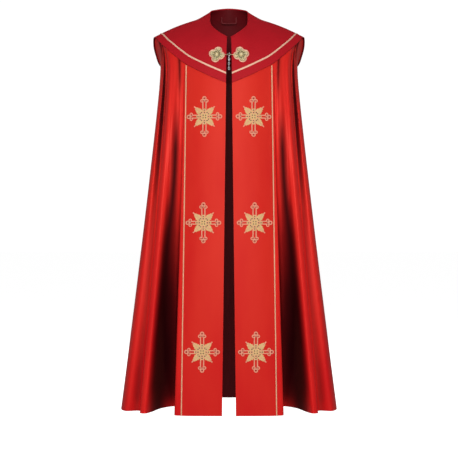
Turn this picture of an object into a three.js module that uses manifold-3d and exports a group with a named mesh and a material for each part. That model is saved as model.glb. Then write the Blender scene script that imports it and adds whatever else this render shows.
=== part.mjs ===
/**
 * A red satin cope: an open-fronted ceremonial cape with a shaped yoke, two orphrey bands
 * with embroidered crosses, gold braid and piping, and a hooked clasp with a hanging chain.
 *
 * Millimetres, +Z up. The fronts face -Y and the origin is the centre of the neck opening.
 * The garment is written once as a surface over (w, t). w runs round the wearer: 0 is the
 * right front edge, 1 the centre of the back, 2 the left front edge. t runs down a piece,
 * from its top edge at 0 to its bottom edge at 1.
 */
import * as THREE from "three";
import { mergeVertices } from "three/addons/utils/BufferGeometryUtils.js";
import Module from "manifold-3d";

const wasm = await Module();
wasm.setup();

// ---------------------------------------------------------------- driving dimensions

const capeLength = 1403; // neck opening down to the hem
const hemHalfWidth = 398;
const hemHalfDepth = 300;
const foldEase = 1.4; // folds open slowly below the yoke and fully at the hem
const sideTuck = 34; // how far the cloth falls in under the shoulder points
// These three are shares of the cape's height.
const yokeReach = 0.04; // over which the cloth leaves the yoke's edge
const lateFolds = [0.16, 1.1]; // over which the front recess opens
const gathersFade = [0.12, 0.7]; // over which the gathers under the yoke die out

const yokeHalfWidth = 277;
const yokeHalfDepth = 170;
const yokeDrop = 216; // neck opening down to the yoke's front tips
const yokeFullness = 10; // how far the yoke bows out between neck and edge

const neckHalfWidth = 73;
const neckHalfDepth = 116;
const neckRise = 87; // the nape above the neck opening's centre
const neckBindingRadius = 2;
const neckBindingGap = 0.7; // between the binding and the yoke's top edge

const satinThickness = 1.6;
const liningThickness = 1;
const yokeThickness = 2.2;
const orphreyThickness = 1.4;
const interliningThickness = 0.8;
const layerGap = 0.3; // between two layers of cloth
const liningGap = 0.4; // between the cape's satin and its lining
const seamGap = 0.5; // between two panels sewn edge to edge
const yokeOverlap = 6; // how far the cape runs up under the yoke
const yokeClearance = 0.9; // between the orphreys' top ends and the yoke's lining
const shoulderEase = 0.8; // more clearance where no orphrey lies between cape and yoke

const pipingRadius = 2.2;
const pipingGap = 0.8; // between the piping and the cloth beside and behind it
const braidWidth = 6;
const braidThickness = 0.9;
const braidFromEdge = 28;
const braidLift = 1.2; // room for the yoke's curve under the braid's straight-sided pieces

const crossWidth = 127;
const crossHeight = 146;
const crossThickness = 1.2;
const crossHalfArm = 7.5;
const crossBud = 7;
const crossFromFront = 73; // from the orphrey's inner edge to a cross's centre
const crossDrops = [337, 717, 1177]; // neck opening down to each cross's centre
const crossLift = 0.6;

const claspFromCentre = 42.8;
const claspAboveTips = 104; // from the yoke's front tips up to the clasp's centre
const claspDrop = yokeDrop - claspAboveTips;
const claspLobe = 15;
const claspSpread = 14;
const claspThickness = 2.5;
const claspLift = 0.4;
const claspTilt = 0.14; // the two plates lean apart by this, in radians
const bossRadius = 8;
const bossHeight = 5;

const wireRadius = 0.7;
const ringRadius = 4.2;
const eyeRadius = 2.4;
const linkHalfWidth = 2.5;
const linkHalfLength = 5.1;
const linkCount = 6;
const chainStandOff = 10; // the ring stands this far in front of the yoke's edge
const chainPlay = 0.3; // clearance between two wires that hang in each other

const loopWidth = 56;
const loopDrop = 24;
const loopRibbon = 6;
const loopThickness = 2;
const loopGap = 1.5;
const loopBelowNape = 30;

// ---------------------------------------------------------------- materials

const cloth = (color, roughness) => new THREE.MeshStandardMaterial({ color, roughness, metalness: 0 });
const metal = (color, roughness) => new THREE.MeshStandardMaterial({ color, roughness, metalness: 1 });

const satin = () => cloth(0xc4151c, 0.35);
const lining = () => cloth(0x6e0a14, 0.6);
const brocade = () => cloth(0xa8161f, 0.8);
const orphreySatin = () => cloth(0xd9201f, 0.4);
const interlining = () => cloth(0xe8e0d0, 0.95);
const goldBraid = () => cloth(0xe8b98c, 0.5);
const goldThread = () => cloth(0xd9ab70, 0.5);
const gilt = () => metal(0xd8c088, 0.3);
const steel = () => metal(0xc8c8c8, 0.25);

// ---------------------------------------------------------------- the garment's lines

/**
 * A smooth line through rows given as fractions of three sizes, as a function of w.
 * It runs one point past the centre of the back, so that the two halves meet without a crease.
 */
function lineThrough(rows, sizes) {
  const [beyondX, beyondY, beyondZ] = rows.at(-2);
  const points = [...rows, [-beyondX, beyondY, beyondZ]].map((row) =>
    new THREE.Vector3(...row).multiply(sizes),
  );
  const curve = new THREE.CatmullRomCurve3(points, false, "centripetal");
  return (w) => curve.getPoint((w * (rows.length - 1)) / rows.length);
}

// Each line covers the right half, from the front edge round to the centre of the back.
const neckLine = lineThrough(
  [
    [0.107, -1, -0.57],
    [0.56, -0.76, -0.28],
    [0.93, -0.39, 0.08],
    [1, 0, 0.5],
    [0.96, 0.24, 0.79],
    [0.65, 0.5, 0.92],
    [0, 0.67, 1],
  ],
  new THREE.Vector3(neckHalfWidth, neckHalfDepth, neckRise),
);

const yokeEdge = lineThrough(
  [
    [0.038, -0.894, -1],
    [0.232, -0.882, -0.897],
    [0.385, -0.841, -0.8],
    [0.565, -0.741, -0.669],
    [0.696, -0.624, -0.531],
    [0.877, -0.365, -0.311],
    [1, 0, -0.137],
    [1.02, 0.28, -0.25],
    [1, 0.5, -0.39],
    [0.94, 0.66, -0.57],
    [0.72, 0.83, -0.74],
    [0.38, 0.95, -0.84],
    [0, 1, -0.87],
  ],
  new THREE.Vector3(yokeHalfWidth, yokeHalfDepth, yokeDrop),
);

// Fold lines of the cape: x and y at the hem as fractions, where each leaves the yoke's edge,
// how far it is pushed back under the yoke, and whether it opens only lower down.
const foldLines = [
  [0.062, -0.583, 0, 0, 0],
  [0.424, -0.56, 0.25, 0, 0],
  [0.486, -0.527, 0.258, 0, 0],
  [0.478, -0.38, 0.275, 6, 1],
  [0.468, 0, 0.292, 4, 1],
  [0.515, 0.2, 0.312, 0, 1],
  [0.62, 0.06, 0.336, -4, 1],
  [0.712, -0.283, 0.362, -8, 0],
  [0.762, -0.393, 0.386, -12, 0],
  [0.806, -0.36, 0.406, -6, 0],
  [0.8, -0.22, 0.421, 26, 0],
  [0.838, -0.17, 0.4375, 18, 0],
  [0.94, -0.2, 0.456, -4, 0],
  [1, -0.03, 0.48, -4, 0],
  [0.98, 0.17, 0.51, 0, 0],
  [0.879, 0.3, 0.548, 0, 0],
  [0.919, 0.5, 0.595, 0, 0],
  [0.787, 0.55, 0.655, -4, 0],
  [0.787, 0.783, 0.71, 4, 0],
  [0.63, 0.75, 0.77, -12, 0],
  [0.525, 0.95, 0.83, 8, 0],
  [0.367, 0.867, 0.885, -10, 0],
  [0.21, 1, 0.945, 8, 0],
  [0, 0.967, 1, -6, 0],
];
const orphreyEdge = 1; // index of the fold line that the orphrey's outer edge follows
const panelEdges = [0, 2, 10, 15, 19, 23]; // fold lines where two panels are sewn together

const hemLine = lineThrough(
  foldLines.map(([x, y]) => [x, y, 0]),
  new THREE.Vector3(hemHalfWidth, hemHalfDepth, 0),
);

const foldCount = foldLines.length - 1;
const atFold = (index) => index / foldCount;

const { lerp, smoothstep } = THREE.MathUtils;

/** Where the cape's point w leaves the yoke's edge, between 0 and 1. */
function leavesYokeAt(w) {
  const index = Math.min(Math.floor(w * foldCount), foldCount - 1);
  return lerp(foldLines[index][2], foldLines[index + 1][2], w * foldCount - index);
}

/** A column of the fold table at w, eased from fold to fold. */
function easedFold(column, w) {
  const index = Math.min(Math.floor(w * foldCount), foldCount - 1);
  const part = smoothstep(w * foldCount - index, 0, 1);
  return lerp(foldLines[index][column], foldLines[index + 1][column], part);
}

/** Carries a surface of the right half, w from 0 to 1, on round the back to w = 2. */
function bothHalves(half) {
  return (w, t) => {
    const point = half(w > 1 ? 2 - w : w, t);
    if (w > 1) point.x = -point.x;
    return point;
  };
}

const yoke = bothHalves((w, t) => {
  const point = neckLine(w).lerp(yokeEdge(w), t);
  const bow = yokeFullness * Math.sin(Math.PI * t);
  const outward = new THREE.Vector3(point.x, point.y, yokeHalfDepth).normalize();
  return point.addScaledVector(outward, bow);
});

/** The outward unit normal of a surface, and its direction round the wearer. */
function directionsOn(surface, w, t) {
  const step = 1e-4;
  const [w0, w1] = [Math.max(w - step, 0), Math.min(w + step, 2)];
  const [t0, t1] = [Math.max(t - step, 0), Math.min(t + step, 1)];
  const around = surface(w1, t).sub(surface(w0, t)).normalize();
  const down = surface(w, t1).sub(surface(w, t0)).normalize();
  return { around, down, outward: new THREE.Vector3().crossVectors(down, around).normalize() };
}

/** The cape hangs from a line tucked under the yoke's edge, behind its lining. */
const capeTop = (w) => {
  const edge = leavesYokeAt(w);
  const t = 1 - yokeOverlap / neckLine(edge).distanceTo(yokeEdge(edge));
  const band = orphreyThickness + interliningThickness + 2 * layerGap;
  const beyondBand = smoothstep(w, atFold(orphreyEdge), atFold(6));
  const extra = lerp(band, shoulderEase, beyondBand);
  const depth = yokeThickness + layerGap + liningThickness + yokeClearance + extra;
  return yoke(edge, t).addScaledVector(directionsOn(yoke, edge, t).outward, -depth);
};

const bandTop = capeTop(atFold(orphreyEdge)).x;

const cape = bothHalves((w, t) => {
  const top = capeTop(w);
  const hem = hemLine(w);
  const belowYoke = 1 - Math.exp(-t / yokeReach);
  const besideBand = Math.max(0, (top.x - bandTop) / (yokeHalfWidth - bandTop));
  const tuck = sideTuck * besideBand ** 1.3 * (1 - t ** 1.5) * belowYoke;
  const opened = lerp(t ** foldEase, smoothstep(t, ...lateFolds), easedFold(4, w));
  const gather = easedFold(3, w) * belowYoke * (1 - smoothstep(t, ...gathersFade));
  return new THREE.Vector3(
    lerp(top.x, hem.x, t) - tuck,
    lerp(top.y, hem.y, opened) + gather,
    lerp(top.z, -capeLength, t),
  );
});

/** The place on a surface's right half whose front view is at x, z. */
function placeOn(surface, x, z, guess) {
  let [w, t] = guess;
  const step = 1e-4;
  for (let round = 0; round < 20; round += 1) {
    const here = surface(w, t);
    const across = surface(w + step, t).sub(here).divideScalar(step);
    const along = surface(w, t + step).sub(here).divideScalar(step);
    const [dx, dz] = [x - here.x, z - here.z];
    const det = across.x * along.z - along.x * across.z;
    w += (dx * along.z - along.x * dz) / det;
    t += (across.x * dz - dx * across.z) / det;
  }
  return { w, t, point: surface(w, t), ...directionsOn(surface, w, t) };
}

// ---------------------------------------------------------------- makers

const part = new THREE.Group();

function add(name, geometry, material) {
  const mesh = new THREE.Mesh(geometry, material);
  mesh.name = name;
  part.add(mesh);
  return mesh;
}

const sewn = [seamGap / 2, seamGap / 2];

/** Divides each square of a box's inner face the same way as its outer face. */
function matchDiagonals(box) {
  const { start, count } = box.groups[5];
  for (let i = start; i < start + count; i += 6) {
    const [a, b, d, , c] = box.index.array.slice(i, i + 6);
    [a, b, c, a, c, d].forEach((corner, k) => box.index.setX(i + k, corner));
  }
}

/**
 * A layer of cloth: a thin box whose vertices are laid on a surface.
 * span is its range of w and reach its range of t, which may depend on w.
 * depths are the distances of its outer and inner face from the surface, outward positive.
 * insets draw its two side edges in, along the surface.
 * A grid is columns, rows and, above 1, how much closer together the rows lie at the top.
 */
function layer(surface, span, reach, depths, [columns, rows, crowding = 1], insets = sewn) {
  const box = new THREE.BoxGeometry(1, 1, 1, columns, rows, 1);
  matchDiagonals(box);
  const corners = box.attributes.position;
  for (let i = 0; i < corners.count; i += 1) {
    const u = corners.getX(i) + 0.5;
    const w = lerp(span[0], span[1], u);
    const [high, low] = reach(w);
    const t = lerp(high, low, Math.max(0, 0.5 - corners.getY(i)) ** crowding);
    const { around, outward } = directionsOn(surface, w, t);
    const depth = corners.getZ(i) > 0 ? depths[0] : depths[1];
    const point = surface(w, t).addScaledVector(outward, depth);
    if (u === 0) point.addScaledVector(around, insets[0]);
    if (u === 1) point.addScaledVector(around, -insets[1]);
    corners.setXYZ(i, point.x, point.y, point.z);
  }
  return box;
}

const wholeHeight = () => [0, 1];
const capeRows = [7, 1.5]; // every layer of the cape is divided alike, so its layers never cross

/** Turns a span on the right half into the matching span on the left half. */
const otherSide = ([from, to]) => [2 - to, 2 - from];

/** A round wire along a curve, closed into a ring or with flat ends. */
function wire(curve, radius, steps, sides = 6) {
  const section = new THREE.Shape();
  section.absarc(0, 0, radius, 0, 2 * Math.PI);
  return new THREE.ExtrudeGeometry(section, {
    steps,
    curveSegments: sides / 2,
    bevelEnabled: false,
    extrudePath: curve,
  });
}

/** A closed oval link of round wire, standing in the XZ plane. */
function link(halfWidth, halfLength, segments = 16) {
  const points = [];
  const straight = halfLength - halfWidth;
  for (let i = 0; i < segments; i += 1) {
    const angle = ((i + 0.5) / segments) * 2 * Math.PI;
    const shift = Math.sign(Math.sin(angle)) * straight;
    points.push(new THREE.Vector3(Math.cos(angle) * halfWidth, 0, Math.sin(angle) * halfWidth + shift));
  }
  return torusAlong(points, wireRadius);
}

/** Joins a loop of points into one closed tube, by bending a torus on to them. */
function torusAlong(points, radius, sides = 6) {
  const torus = new THREE.TorusGeometry(1, 0.5, sides, points.length);
  const corners = torus.attributes.position;
  const centre = points.reduce((sum, p) => sum.add(p), new THREE.Vector3()).divideScalar(points.length);
  for (let i = 0; i < corners.count; i += 1) {
    const [x, y, z] = [corners.getX(i), corners.getY(i), corners.getZ(i)];
    const turn = (Math.atan2(y, x) / (2 * Math.PI)) * points.length;
    const index = ((Math.round(turn) % points.length) + points.length) % points.length;
    const next = points[(index + 1) % points.length];
    const previous = points[(index + points.length - 1) % points.length];
    const along = next.clone().sub(previous).normalize();
    const side = new THREE.Vector3(0, 1, 0);
    const out = new THREE.Vector3().crossVectors(side, along).normalize();
    if (out.dot(points[index].clone().sub(centre)) < 0) out.negate();
    const reach = (Math.hypot(x, y) - 1) / 0.5;
    const point = points[index].clone().addScaledVector(out, reach * radius);
    point.addScaledVector(side, (z / 0.5) * radius * -1);
    corners.setXYZ(i, point.x, point.y, point.z);
  }
  return torus;
}

/** Turns a three.js geometry into a solid that can be joined and cut. */
function solidOf(geometry) {
  const bare = geometry.clone();
  bare.deleteAttribute("normal");
  bare.deleteAttribute("uv");
  const merged = mergeVertices(bare, 1e-4);
  return new wasm.Manifold(
    new wasm.Mesh({
      numProp: 3,
      vertProperties: new Float32Array(merged.attributes.position.array),
      triVerts: new Uint32Array(merged.index.array),
    }),
  );
}

function geometryOf(solid) {
  const mesh = solid.getMesh();
  const geometry = new THREE.BufferGeometry();
  geometry.setAttribute("position", new THREE.BufferAttribute(mesh.vertProperties, 3));
  geometry.setIndex(new THREE.BufferAttribute(mesh.triVerts, 1));
  geometry.computeVertexNormals();
  return geometry;
}

/** Places a mesh with its X across the wearer, Y up the cloth and Z off the cloth. */
function seat(mesh, place, lift, spin = 0) {
  const up = place.down.clone().negate();
  const across = new THREE.Vector3().crossVectors(up, place.outward).normalize();
  const basis = new THREE.Matrix4().makeBasis(across, up, place.outward);
  mesh.quaternion.setFromRotationMatrix(basis);
  mesh.position.copy(place.point).addScaledVector(place.outward, lift);
  mesh.rotateZ(spin);
  return mesh;
}

// ---------------------------------------------------------------- the cape

const panelNames = ["front", "side_front", "side", "side_back", "back"];
panelNames.forEach((name, i) => {
  const span = [atFold(panelEdges[i]), atFold(panelEdges[i + 1])];
  const grid = [(i === 0 ? 4 : 2) * (panelEdges[i + 1] - panelEdges[i]), ...capeRows];
  const depths = [0, -satinThickness];
  add(`panel_${name}_right`, layer(cape, span, wholeHeight, depths, grid), satin());
  add(`panel_${name}_left`, layer(cape, otherSide(span), wholeHeight, depths, grid), satin());
});

const liningFace = -satinThickness - liningGap;
const liningDepths = [liningFace, liningFace - liningThickness];
const halfCape = [0, 1];
for (const [side, span] of [["right", halfCape], ["left", otherSide(halfCape)]]) {
  const grid = [2 * foldCount, ...capeRows];
  add(`cape_lining_${side}`, layer(cape, span, wholeHeight, liningDepths, grid), lining());
}

// ---------------------------------------------------------------- the orphreys

const orphreyLength = capeTop(0).distanceTo(cape(0, 1));
const orphreySpan = [0, atFold(orphreyEdge)];
const besidePiping = pipingRadius + pipingGap;
const interliningDepths = [layerGap + interliningThickness, layerGap];
const orphreyDepths = [
  2 * layerGap + interliningThickness + orphreyThickness,
  2 * layerGap + interliningThickness,
];

for (const [side, span, insets] of [
  ["right", orphreySpan, [seamGap, besidePiping]],
  ["left", otherSide(orphreySpan), [besidePiping, seamGap]],
]) {
  const band = (depths) => layer(cape, span, wholeHeight, depths, [4, ...capeRows], insets);
  add(`orphrey_interlining_${side}`, band(interliningDepths), interlining());
  add(`orphrey_${side}`, band(orphreyDepths), orphreySatin());
}

/** The gold piping lies on the cape along the orphrey's outer edge. */
function pipingAlong(w) {
  const points = [];
  const startBelowYoke = (yokeOverlap + pipingRadius) / orphreyLength;
  for (let i = 0; i <= 12; i += 1) {
    const t = lerp(startBelowYoke, 1, i / 12);
    const { outward } = directionsOn(cape, w, t);
    points.push(cape(w, t).addScaledVector(outward, besidePiping));
  }
  return wire(new THREE.CatmullRomCurve3(points), pipingRadius, 14, 8);
}

add("piping_right", pipingAlong(atFold(orphreyEdge)), goldBraid());
add("piping_left", pipingAlong(2 - atFold(orphreyEdge)), goldBraid());

/** A cross with budded arm ends and a spiked star at its centre. */
function crossShape() {
  const shape = new THREE.Shape();
  const starNotch = [28, 27.5];
  const starTip = 36;
  const turned = (x, y, quarter) => {
    const swap = quarter % 2 ? [-y, x] : [x, y];
    return quarter < 2 ? swap : [-swap[0], -swap[1]];
  };
  for (let quarter = 0; quarter < 4; quarter += 1) {
    const reach = (quarter % 2 ? crossHeight : crossWidth) / 2;
    const notch = starNotch[quarter % 2];
    const budAt = reach - 2.6 * crossBud;
    const outline = [
      [notch, -crossHalfArm],
      [budAt - crossBud, -crossHalfArm],
      [budAt - 0.5 * crossBud, -2 * crossBud],
      [budAt + 0.7 * crossBud, -1.9 * crossBud],
      [budAt + 1.1 * crossBud, -crossBud],
      [reach - 0.5 * crossBud, -0.8 * crossBud],
      [reach, 0],
    ];
    const back = outline.slice(0, -1).reverse().map(([x, y]) => [x, -y]);
    for (const [x, y] of [...outline, ...back, [starTip, starTip]]) {
      const [px, py] = turned(x, y, quarter);
      if (shape.curves.length === 0 && shape.currentPoint.lengthSq() === 0) shape.moveTo(px, py);
      else shape.lineTo(px, py);
    }
  }
  shape.closePath();
  return shape;
}

const flat = (shape, depth) => new THREE.ExtrudeGeometry(shape, { depth, bevelEnabled: false });
const orphreyFace = orphreyDepths[0];

crossDrops.forEach((drop, i) => {
  const innerEdge = placeOn(cape, cape(0, drop / capeLength).x, -drop, [0, drop / capeLength]).point.x;
  const place = placeOn(cape, innerEdge + crossFromFront, -drop, [0.02, drop / capeLength]);
  const mirrored = mirrorPlace(place);
  for (const [side, here] of [["right", place], ["left", mirrored]]) {
    seat(add(`cross_${i + 1}_${side}`, flat(crossShape(), crossThickness), goldThread()), here, orphreyFace + crossLift);
  }
});

/** The matching place on the left half. */
function mirrorPlace({ point, down, outward }) {
  const flip = (v) => new THREE.Vector3(-v.x, v.y, v.z);
  return { point: flip(point), down: flip(down), outward: flip(outward) };
}

// ---------------------------------------------------------------- the yoke

const shoulder = 0.52; // where the shoulder seam lies, as a fraction of w
const yokePieces = [
  ["front_right", [0, shoulder], 20],
  ["back", [shoulder, 2 - shoulder], 24],
  ["front_left", [2 - shoulder, 2], 20],
];
const yokeLiningDepths = [-yokeThickness - layerGap, -yokeThickness - layerGap - liningThickness];

for (const [name, span, columns] of yokePieces) {
  add(`yoke_${name}`, layer(yoke, span, wholeHeight, [0, -yokeThickness], [columns, 6]), brocade());
  add(`yoke_lining_${name}`, layer(yoke, span, wholeHeight, yokeLiningDepths, [columns, 6]), lining());
}

/** Distance down the yoke from neck to edge, on the half that w lies on. */
function yokeSlope(w) {
  const half = w > 1 ? 2 - w : w;
  return neckLine(half).distanceTo(yokeEdge(half));
}

const braidReach = (w) => {
  const slope = yokeSlope(w);
  return [1 - (braidFromEdge + braidWidth) / slope, 1 - braidFromEdge / slope];
};
const braidDepths = [braidLift + braidThickness, braidLift];
add("yoke_braid", layer(yoke, [0, 2], braidReach, braidDepths, [64, 1]), goldBraid());

const bindingPoints = [];
for (let i = 0; i <= 32; i += 1) {
  const w = i / 16;
  const { down, outward } = directionsOn(yoke, w, 0);
  const point = yoke(w, 0).addScaledVector(down, -neckBindingRadius - neckBindingGap);
  bindingPoints.push(point.addScaledVector(outward, -yokeThickness / 2));
}
add("neck_binding", wire(new THREE.CatmullRomCurve3(bindingPoints), neckBindingRadius, 40, 6), brocade());

// ---------------------------------------------------------------- the clasp

/** A plate with four round lobes, pierced between them. */
function claspPlate() {
  const disc = (x, y, radius, depth) =>
    new THREE.CylinderGeometry(radius, radius, depth, 20)
      .rotateX(Math.PI / 2)
      .translate(x, y, claspThickness / 2);
  let solid = solidOf(disc(0, 0, claspSpread, claspThickness));
  for (let i = 0; i < 4; i += 1) {
    const angle = (i * Math.PI) / 2;
    const [x, y] = [Math.cos(angle) * claspSpread, Math.sin(angle) * claspSpread];
    solid = solid.add(solidOf(disc(x, y, claspLobe, claspThickness)));
  }
  for (let i = 0; i < 4; i += 1) {
    const angle = (i * Math.PI) / 2;
    const [x, y] = [Math.cos(angle) * claspSpread * 1.3, Math.sin(angle) * claspSpread * 1.3];
    solid = solid.subtract(solidOf(disc(x, y, claspLobe / 4, claspThickness * 2)));
  }
  return geometryOf(solid);
}

/** A low domed stud, standing on z = 0. */
function boss() {
  const profile = [new THREE.Vector2(0, 0), new THREE.Vector2(bossRadius, 0)];
  for (let i = 1; i < 4; i += 1) {
    const angle = (i / 4) * (Math.PI / 2);
    profile.push(new THREE.Vector2(Math.cos(angle) * bossRadius, Math.sin(angle) * bossHeight));
  }
  profile.push(new THREE.Vector2(0, bossHeight));
  return new THREE.LatheGeometry(profile, 16).rotateX(Math.PI / 2);
}

const claspPlace = placeOn(yoke, claspFromCentre, -claspDrop, [0.14, 0.4]);
const plateFront = claspLift + claspThickness;
const ringCentre = yoke(0, 0.4).clone().setX(0).setZ(-claspDrop - 3);
ringCentre.y -= chainStandOff;

for (const [side, place, sign] of [["right", claspPlace, 1], ["left", mirrorPlace(claspPlace), -1]]) {
  seat(add(`clasp_plate_${side}`, claspPlate(), gilt()), place, claspLift, sign * claspTilt);
  seat(add(`clasp_boss_${side}`, boss(), gilt()), place, plateFront + layerGap, 0);

  // an arm from the plate's inner lobe to the eye that holds the ring
  const eyeX = ringRadius + eyeRadius - wireRadius - chainPlay - 0.9;
  const eyeCentre = ringCentre.clone().setX(sign * eyeX);
  const lobe = new THREE.Vector3(-sign * (claspSpread + claspLobe * 0.45), 0, plateFront + layerGap + 1);
  const root = place.point.clone();
  const up = place.down.clone().negate();
  const across = new THREE.Vector3().crossVectors(up, place.outward).normalize();
  root.addScaledVector(across, lobe.x).addScaledVector(place.outward, lobe.z);
  const armEnd = eyeCentre.clone().setX(sign * (eyeX + eyeRadius));
  const eye = solidOf(new THREE.TorusGeometry(eyeRadius, wireRadius, 6, 16).translate(...eyeCentre));
  const arm = solidOf(wire(new THREE.LineCurve3(root, armEnd), wireRadius * 1.3, 1, 8));
  add(`clasp_eye_${side}`, geometryOf(eye.add(arm)), gilt());
}

// ---------------------------------------------------------------- the ring and its chain

add(
  "clasp_ring",
  new THREE.TorusGeometry(ringRadius, wireRadius, 6, 18).rotateX(Math.PI / 2).translate(...ringCentre),
  steel(),
);

let hangsAt = ringCentre.z - ringRadius;
for (let i = 0; i < linkCount; i += 1) {
  const topWire = hangsAt + 2 * wireRadius + chainPlay;
  const centre = ringCentre.clone().setZ(topWire - linkHalfLength);
  const oval = link(linkHalfWidth, linkHalfLength);
  if (i % 2 === 0) oval.rotateZ(Math.PI / 2);
  add(`chain_link_${i + 1}`, oval.translate(...centre), steel());
  hangsAt = centre.z - linkHalfLength;
}

// ---------------------------------------------------------------- the hanging loop

const loopShape = new THREE.Shape();
const [halfLoop, tape] = [loopWidth / 2, loopThickness];
const loopOutline = [
  [-halfLoop, 0],
  [-halfLoop, -loopDrop],
  [halfLoop, -loopDrop],
  [halfLoop, 0],
  [halfLoop - tape, 0],
  [halfLoop - tape, tape - loopDrop],
  [tape - halfLoop, tape - loopDrop],
  [tape - halfLoop, 0],
];
loopShape.setFromPoints(loopOutline.map(([x, y]) => new THREE.Vector2(x, y)));
const napePlace = placeOn(yoke, halfLoop, neckRise - loopBelowNape, [0.93, 0.05]);
const insideNape = yokeThickness + layerGap + liningThickness + loopGap;
const hangingLoop = add("hanging_loop", flat(loopShape, loopRibbon), lining());
hangingLoop.rotation.x = Math.PI / 2;
hangingLoop.position.set(0, napePlace.point.y - insideNape, napePlace.point.z);

export default part;
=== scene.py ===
# %% [markdown]
# # A red satin cope
# A cope is a ceremonial cape, open down the front and held at the chest by a clasp. This
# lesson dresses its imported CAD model: every cloth solid is replaced by a smooth piece with
# its own folds and weave, and the metal clasp and embroidery get their real relief.

# %% Load the frame and keep the CAD box
import math

import bmesh
import bpy
import numpy as np
from mathutils import Matrix, Vector
from mathutils.bvhtree import BVHTree


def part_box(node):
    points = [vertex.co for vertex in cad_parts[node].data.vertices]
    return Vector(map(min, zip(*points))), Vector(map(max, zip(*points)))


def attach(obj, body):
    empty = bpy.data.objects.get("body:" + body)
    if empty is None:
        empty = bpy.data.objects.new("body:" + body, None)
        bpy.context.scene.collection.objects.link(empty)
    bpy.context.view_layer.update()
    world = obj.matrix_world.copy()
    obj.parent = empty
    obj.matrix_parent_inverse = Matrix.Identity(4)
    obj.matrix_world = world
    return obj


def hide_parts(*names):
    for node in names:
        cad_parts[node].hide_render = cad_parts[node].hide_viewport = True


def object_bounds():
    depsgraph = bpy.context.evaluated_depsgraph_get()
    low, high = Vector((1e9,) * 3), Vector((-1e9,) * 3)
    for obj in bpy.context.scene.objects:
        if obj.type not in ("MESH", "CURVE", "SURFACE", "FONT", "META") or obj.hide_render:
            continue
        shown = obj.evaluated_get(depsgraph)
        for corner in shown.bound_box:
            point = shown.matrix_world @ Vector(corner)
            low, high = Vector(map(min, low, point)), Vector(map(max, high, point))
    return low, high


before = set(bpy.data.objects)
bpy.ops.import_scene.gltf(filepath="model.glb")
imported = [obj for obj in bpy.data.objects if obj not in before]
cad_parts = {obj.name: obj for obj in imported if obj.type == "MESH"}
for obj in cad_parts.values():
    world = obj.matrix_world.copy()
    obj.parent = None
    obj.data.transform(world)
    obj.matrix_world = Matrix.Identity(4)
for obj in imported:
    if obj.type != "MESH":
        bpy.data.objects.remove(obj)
cad_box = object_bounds()
MM = 0.001
print("CAD box in mm:", [[round(v / MM, 1) for v in corner] for corner in cad_box])

# %% [markdown]
# ## Camera and light
# Cloth in a catalogue is lit by wide soft boxes near the camera, so that satin shows a
# bright ridge on every fold that faces the viewer and goes dark where it turns away. The
# camera stands far off with a long lens, level with the middle of the cope.

# %% Camera
look_at = Vector((0, -0.15, -0.739))
camera_distance = 4.2
seen_width = 1.635
camera = bpy.data.objects.new("camera", bpy.data.cameras.new("camera"))
camera.data.sensor_width = 36
camera.data.lens = camera.data.sensor_width * camera_distance / seen_width
camera.location = look_at - Vector((0, camera_distance, 0))
camera.rotation_euler = (math.radians(90), 0, 0)
bpy.context.scene.collection.objects.link(camera)
bpy.context.scene.camera = camera
print("lens", round(camera.data.lens, 1), "mm")


# %% Lights
def soft_box(name, place, target, size, watts):
    """A rectangular area light that faces its target."""
    light = bpy.data.lights.new(name, "AREA")
    light.shape = "RECTANGLE"
    light.size, light.size_y = size
    light.energy = watts
    holder = bpy.data.objects.new(name, light)
    holder.location = place
    holder.rotation_euler = (Vector(target) - Vector(place)).to_track_quat("-Z", "Y").to_euler()
    bpy.context.scene.collection.objects.link(holder)


chest = (0, 0, -0.6)
soft_box("front_box", (0.0, -4.6, 0.1), chest, (1.2, 2.0), 130)
soft_box("left_box", (-3.2, -2.6, 0.2), chest, (0.9, 2.4), 16)
soft_box("right_box", (3.2, -2.6, 0.2), chest, (0.9, 2.4), 16)
soft_box("back_box", (0.0, 3.8, 1.2), chest, (2.0, 2.0), 70)

world = bpy.data.worlds.new("studio")
bpy.context.scene.world = world
world.use_nodes = True
air = world.node_tree
air.nodes.clear()
shown_strength, lit_strength = 1.05, 0.16
shown, lit = (air.nodes.new("ShaderNodeBackground") for _ in range(2))
shown.inputs["Strength"].default_value = shown_strength
lit.inputs["Strength"].default_value = lit_strength
for sky in (shown, lit):
    sky.inputs["Color"].default_value = (1, 1, 1, 1)
chooser = air.nodes.new("ShaderNodeMixShader")
air.links.new(air.nodes.new("ShaderNodeLightPath").outputs["Is Camera Ray"], chooser.inputs[0])
air.links.new(lit.outputs[0], chooser.inputs[1])
air.links.new(shown.outputs[0], chooser.inputs[2])
air.links.new(chooser.outputs[0], air.nodes.new("ShaderNodeOutputWorld").inputs["Surface"])
bpy.context.scene.view_settings.view_transform = "Standard"

# %% [markdown]
# ## Shader maths as Python
# A weave or a seam is a sum of simple patterns. Wiring Math nodes by hand hides that sum,
# so a socket is wrapped in a class whose operators add the nodes.


# %% A finish and its signals
class Signal:
    """A number on its way through a finish. Arithmetic with it adds Math nodes."""

    def __init__(self, finish, socket):
        self.finish, self.socket = finish, socket

    def _sum(self, operation, *values):
        return self.finish.node("Math", {"operation": operation}, dict(enumerate(values)))

    def __add__(self, other):
        return self._sum("ADD", self, other)

    def __sub__(self, other):
        return self._sum("SUBTRACT", self, other)

    def __rsub__(self, other):
        return self._sum("SUBTRACT", other, self)

    def __mul__(self, other):
        return self._sum("MULTIPLY", self, other)

    def __truediv__(self, other):
        return self._sum("DIVIDE", self, other)

    def __abs__(self):
        return self._sum("ABSOLUTE", self)

    def wave(self, period):
        """Goes from -1 to 1 and back once in each period."""
        return self._sum("SINE", self * (2 * math.pi / period))

    def above(self, edge, softness):
        """0 below the edge and 1 above it, with a soft step between."""
        settings = {"interpolation_type": "SMOOTHSTEP"}
        values = {0: self, 1: edge - softness, 2: edge + softness}
        return self.finish.node("MapRange", settings, values)


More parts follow.
